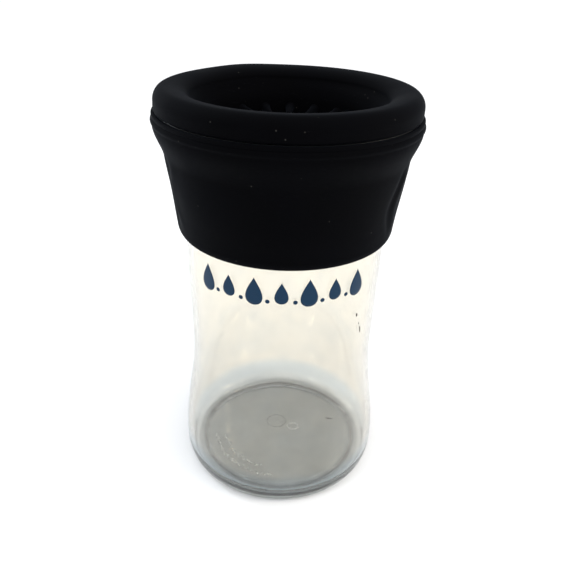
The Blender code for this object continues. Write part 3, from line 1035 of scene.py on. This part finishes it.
def bristle_outline():
    """Half outline of an upright bristle: flared root, taper and rounded tip."""
    size = settings().bristle
    root = size.root_radius
    tip = size.tip_radius
    flare = root * 1.3
    points = [(0.0, -size.root_sink), (flare, -size.root_sink), (flare, 0.0)]
    points += [(root * 1.08, size.flare_height * 0.4), (root, size.flare_height)]
    points += straight(points[-1], (tip, size.reach - tip), 3)
    return points + arc(0.0, size.reach - tip, tip, tip, 0, 90, 3)[1:]


class PAWCUP_OT_bristles(bpy.types.Operator):
    """Rows of tapered bristles with rounded tips and flared roots, moulded on the insert's wall"""

    bl_idname = "paw_cup.bristles"
    bl_label = "Bristles"

    def execute(self, context):
        size = settings().bristle
        low, high = BOXES["bristle_insert"]
        lowest = low.z + size.edge_margin
        highest = high.z - settings().soft.funnel_height - size.edge_margin / 2
        inward = Matrix.Rotation(-math.pi / 2, 4, "Y")
        bm = bmesh.new()
        for row in range(size.rows):
            height = lowest + (highest - lowest) * row / (size.rows - 1)
            root = Matrix.Translation((insert_bore(), 0.0, height))
            for place in range(size.per_row):
                turn = Matrix.Rotation(TAU * (place + 0.5 * (row % 2)) / size.per_row, 4, "Z")
                # moulded bristles droop and sway by a degree or two
                droop = math.radians(1.5 + 2.0 * math.sin(place * 2.3 + row * 1.7))
                sway = math.radians(2.5 * math.sin(place * 1.1 + row * 2.9))
                bend = Matrix.Rotation(sway, 4, "Z") @ Matrix.Rotation(-droop, 4, "Y")
                one = turned_bmesh(bristle_outline(), False, 12)
                merge_in(bm, one, turn @ root @ bend @ inward)
        material = bpy.data.materials["soft_touch_silicone_insert"]
        finish_piece("bristles", bm, material, "insert", sharp_deg=60.0)
        return {"FINISHED"}


def wrap_on_wall(bm, lift):
    """Bend a flat drawing (x across, y up) onto the front of the tumbler, a little proud of its wall."""
    for vert in bm.verts:
        height = vert.co.y
        radius = body_radius(height) + lift + vert.co.z
        turn = vert.co.x / radius
        vert.co = Vector((radius * math.sin(turn), -radius * math.cos(turn), height))


def add_drop(bm, centre, width, tall):
    """One water drop, point upwards, with rings of inner points so that it follows the curved wall."""
    disc = turned_bmesh([(0.0, 0.0), *straight((0.0, 0.0), (1.0, 0.0), 5)], False, 40)
    for vert in disc.verts:
        share = vert.co.to_2d().length
        turn = abs(math.atan2(vert.co.x, vert.co.y))
        side = math.copysign(math.sin(turn) * math.sin(turn / 2) ** 1.4, vert.co.x)
        vert.co = Vector((width * 0.66 * share * side, tall / 2 * share * math.cos(turn), 0.0))
    merge_in(bm, disc, Matrix.Translation((*centre, 0.0)))


def add_dot(bm, centre, width):
    """One round dot of the print."""
    disc = turned_bmesh([(0.0, 0.0), (width / 4, 0.0), (width / 2, 0.0)], False, 24)
    merge_in(bm, disc, Matrix.Translation((*centre, 0.0)))


def add_film(piece):
    """Give a flat film the thickness of a coat of ink."""
    film = piece.modifiers.new("film", "SOLIDIFY")
    film.thickness = FILM_THICKNESS
    film.offset = 0.0


class PAWCUP_OT_print(bpy.types.Operator):
    """Plain navy water drops and dots screened on the front of the tumbler in an even row"""

    bl_idname = "paw_cup.print"
    bl_label = "Printed drops"

    def execute(self, context):
        size = settings().motif
        bm = bmesh.new()
        middle = (size.count - 1) / 2
        height = low_of("grip_sleeve").z - size.below_sleeve
        for place in range(size.count):
            across = (place - middle) * size.spacing
            tall = size.drop_height * (1.0 if place % 2 == 0 else size.small_drop)
            add_drop(bm, (across, height), tall * size.slimness, tall)
            if place < size.count - 1:
                add_dot(bm, (across + size.spacing / 2, height - size.dot_drop), size.dot_width)
        wrap_on_wall(bm, PRINT_LIFT)
        bmesh.ops.recalc_face_normals(bm, faces=bm.faces)
        add_film(finish_piece("printed_drops", bm, navy_ink(), "cup"))
        return {"FINISHED"}


def floor_ring(sizes):
    """A thin raised ring on the floor, from its place, radius, half width and height in millimetres."""
    x, y, radius, half_width, height = [size * MM for size in sizes]
    ring = turned_bmesh(arc(radius, 0.0, half_width, height, 0, 180, 6), True, 64)
    bmesh.ops.translate(ring, vec=(x, y, floor_height() + RING_LIFT), verts=ring.verts)
    return ring


def add_floor_dot(bm, x, y, width):
    """One low raised dot on the floor, rounded on top and flat below."""
    floor = floor_height()
    shape = Matrix.Translation((x, y, floor)) @ Matrix.Diagonal((width, width, DOT_HEIGHT, 1.0))
    dot = bmesh.ops.create_uvsphere(bm, u_segments=10, v_segments=6, radius=1.0, matrix=shape)
    for vert in dot["verts"]:
        vert.co.z = max(vert.co.z, floor + DOT_LIFT)


class PAWCUP_OT_base_marks(bpy.types.Operator):
    """Moulding marks on the floor: a gate ring drawn in a dark colour, an ejector ring and two arcs of small
    raised dots
    """

    bl_idname = "paw_cup.base_marks"
    bl_label = "Base marks"

    def execute(self, context):
        # the gate ring is drawn in the dark scuff material, as a thin dark line round the gate mark
        gate = floor_ring(GATE_RING)
        finish_piece("gate_ring", gate, scuff_mark(), "cup", sharp_deg=60.0)
        relief = floor_ring(EJECTOR_RING)
        for radius, first, last, count in DOT_ARCS:
            for place in range(count):
                turn = math.radians(first + (last - first) * place / (count - 1))
                # worn dots differ a little in width and stand a little off their arc
                width = (0.48 + 0.2 * math.sin(place * 1.9)) * MM
                away = (radius + 0.5 * math.sin(place * 2.7)) * MM
                add_floor_dot(relief, away * math.cos(turn), away * math.sin(turn), width)
        bmesh.ops.remove_doubles(relief, verts=relief.verts, dist=0.001 * MM)
        finish_piece("base_relief", relief, frosted_relief(), "cup", sharp_deg=60.0)
        return {"FINISHED"}


def add_smear(bm, centre, tilt, width, tall):
    """One flat oval smear, its sizes in millimetres and its tilt in degrees."""
    disc = turned_bmesh([(0.0, 0.0), (0.25, 0.0), (0.5, 0.0)], False, 14)
    shape = Matrix.Rotation(math.radians(tilt), 4, "Z") @ Matrix.Diagonal((width * MM, tall * MM, 1.0, 1.0))
    merge_in(bm, disc, Matrix.Translation(centre) @ shape)


class PAWCUP_OT_scuffs(bpy.types.Operator):
    """Small dark scuffs from use: three on the right of the wall and one on the floor"""

    bl_idname = "paw_cup.scuffs"
    bl_label = "Scuffs"

    def execute(self, context):
        dark = scuff_mark()
        wall = bmesh.new()
        for turn, height, width, tall in WALL_SCUFFS:
            across = math.radians(turn) * settings().tumbler.body_radius
            add_smear(wall, (across, height * MM, 0.0), WALL_SCUFF_TILT, width, tall)
        wrap_on_wall(wall, SCUFF_LIFT)
        add_film(finish_piece("scuffs_wall", wall, dark, "cup"))
        floor = bmesh.new()
        x, y, width, tall, tilt = FLOOR_SCUFF
        add_smear(floor, (x * MM, y * MM, floor_height() + FLOOR_SCUFF_LIFT), tilt, width, tall)
        add_film(finish_piece("scuff_floor", floor, dark, "cup"))
        return {"FINISHED"}


# ------------------------------------------------------------------ stage

def area_light(name, place, width, height, watts, hue):
    """A soft rectangular light aimed at the middle of the cup."""
    data = bpy.data.lights.new(name, "AREA")
    data.shape = "RECTANGLE"
    data.size = width
    data.size_y = height
    data.energy = watts
    data.color = hue
    light = bpy.data.objects.new(name, data)
    light.location = place
    light.rotation_euler = (LIGHT_AIM - Vector(place)).to_track_quat("-Z", "Y").to_euler()
    bpy.context.scene.collection.objects.link(light)


def lay_floor():
    """Wide round floor that the cup stands on."""
    bm = bmesh.new()
    bmesh.ops.create_circle(bm, cap_ends=True, segments=96, radius=FLOOR_RADIUS)
    bmesh.ops.translate(bm, vec=(0.0, 0.0, -FLOOR_DROP), verts=bm.verts)
    mesh = bpy.data.meshes.new("floor")
    bm.to_mesh(mesh)
    bm.free()
    material, _, shader, _ = new_material("pale_floor")
    shader.inputs["Base Color"].default_value = settings().colours.floor
    shader.inputs["Roughness"].default_value = 0.9
    shader.inputs["Specular IOR Level"].default_value = 0.1
    mesh.materials.append(material)
    floor = bpy.data.objects.new("floor", mesh)
    bpy.context.scene.collection.objects.link(floor)


def light_room():
    """Even room light, broad daylight from above, a window, a lamp and small lights for the glints."""
    view = settings().view
    world = bpy.data.worlds.new("room")
    world.use_nodes = True
    room = world.node_tree.nodes["Background"]
    room.inputs["Color"].default_value = (0.97, 0.98, 1.0, 1.0)
    room.inputs["Strength"].default_value = view.sky
    bpy.context.scene.world = world
    area_light("window", (-0.55, 0.25, 0.45), 0.10, 0.40, view.window_power, (0.82, 0.91, 1.0))
    area_light("room_lamp", (0.6, -0.1, 0.35), 0.08, 0.35, view.lamp_power, (1.0, 0.9, 0.76))
    area_light("glint_right", (0.36, -0.20, 0.44), 0.07, 0.07, view.glint_power, (1.0, 0.98, 0.94))
    area_light("glint_left", (-0.30, -0.26, 0.42), 0.06, 0.06, view.glint_power, (0.92, 0.96, 1.0))
    area_light("overhead", (0.05, -0.1, 0.8), 0.6, 0.6, view.top_power, (1.0, 1.0, 1.0))
    daylight = bpy.data.lights.new("daylight", "SUN")
    daylight.energy = view.day
    daylight.angle = math.radians(70.0)
    sun = bpy.data.objects.new("daylight", daylight)
    sun.rotation_euler = (math.radians(18.0), math.radians(14.0), 0.0)
    bpy.context.scene.collection.objects.link(sun)


def place_camera():
    """Camera above and in front of the cup, looking down and leaning a little."""
    view = settings().view
    scene = bpy.context.scene
    data = bpy.data.cameras.new("camera")
    data.sensor_width = 36.0
    data.lens = view.lens
    data.clip_start = 0.01
    camera = bpy.data.objects.new("camera", data)
    look = Euler((math.pi / 2 - view.pitch, 0.0, 0.0)).to_matrix() @ Matrix.Rotation(view.roll, 3, "Z")
    camera.matrix_world = Matrix.Translation(view.camera_place) @ look.to_4x4()
    scene.collection.objects.link(camera)
    scene.camera = camera
    scene.view_settings.view_transform = "Standard"


class PAWCUP_OT_stage(bpy.types.Operator):
    """Pale floor, even room light, daylight, a window, lamps and the camera"""

    bl_idname = "paw_cup.stage"
    bl_label = "Stage"

    def execute(self, context):
        lay_floor()
        light_room()
        place_camera()
        return {"FINISHED"}


class PAWCUP_PT_panel(bpy.types.Panel):
    """Lists the pieces in the order they are built"""

    bl_label = "Paw washer cup"
    bl_idname = "PAWCUP_PT_panel"
    bl_space_type = "VIEW_3D"
    bl_region_type = "UI"
    bl_category = "Paw Cup"

    def draw(self, context):
        for operator in OPERATORS:
            self.layout.operator(operator.bl_idname)
        for group in PawCupSettings.__annotations__:
            box = self.layout.box()
            box.label(text=group.capitalize())
            values = getattr(context.scene.paw_cup, group)
            for name in values.bl_rna.properties.keys():
                if name not in {"rna_type", "name"}:
                    box.prop(values, name)


OPERATORS = (
    PAWCUP_OT_stage,
    PAWCUP_OT_tumbler,
    PAWCUP_OT_gasket,
    PAWCUP_OT_collar,
    PAWCUP_OT_sleeve,
    PAWCUP_OT_insert,
    PAWCUP_OT_bristles,
    PAWCUP_OT_print,
    PAWCUP_OT_base_marks,
    PAWCUP_OT_scuffs,
)
GROUPS = (
    PawCupTumblerSizes,
    PawCupThreadSizes,
    PawCupCollarSizes,
    PawCupSoftSizes,
    PawCupBristleSizes,
    PawCupMotifSizes,
    PawCupColours,
    PawCupView,
    PawCupSettings,
)


def register():
    """Register the sizes, the operators and the panel."""
    for cls in (*GROUPS, *OPERATORS, PAWCUP_PT_panel):
        bpy.utils.register_class(cls)
    bpy.types.Scene.paw_cup = PointerProperty(type=PawCupSettings)


def unregister():
    """Take everything off again, in reverse order."""
    del bpy.types.Scene.paw_cup
    for cls in reversed((*GROUPS, *OPERATORS, PAWCUP_PT_panel)):
        bpy.utils.unregister_class(cls)


def main():
    register()
    for operator in OPERATORS:
        getattr(bpy.ops.paw_cup, operator.bl_idname.split(".")[1])()


if __name__ == "__main__":
    main()
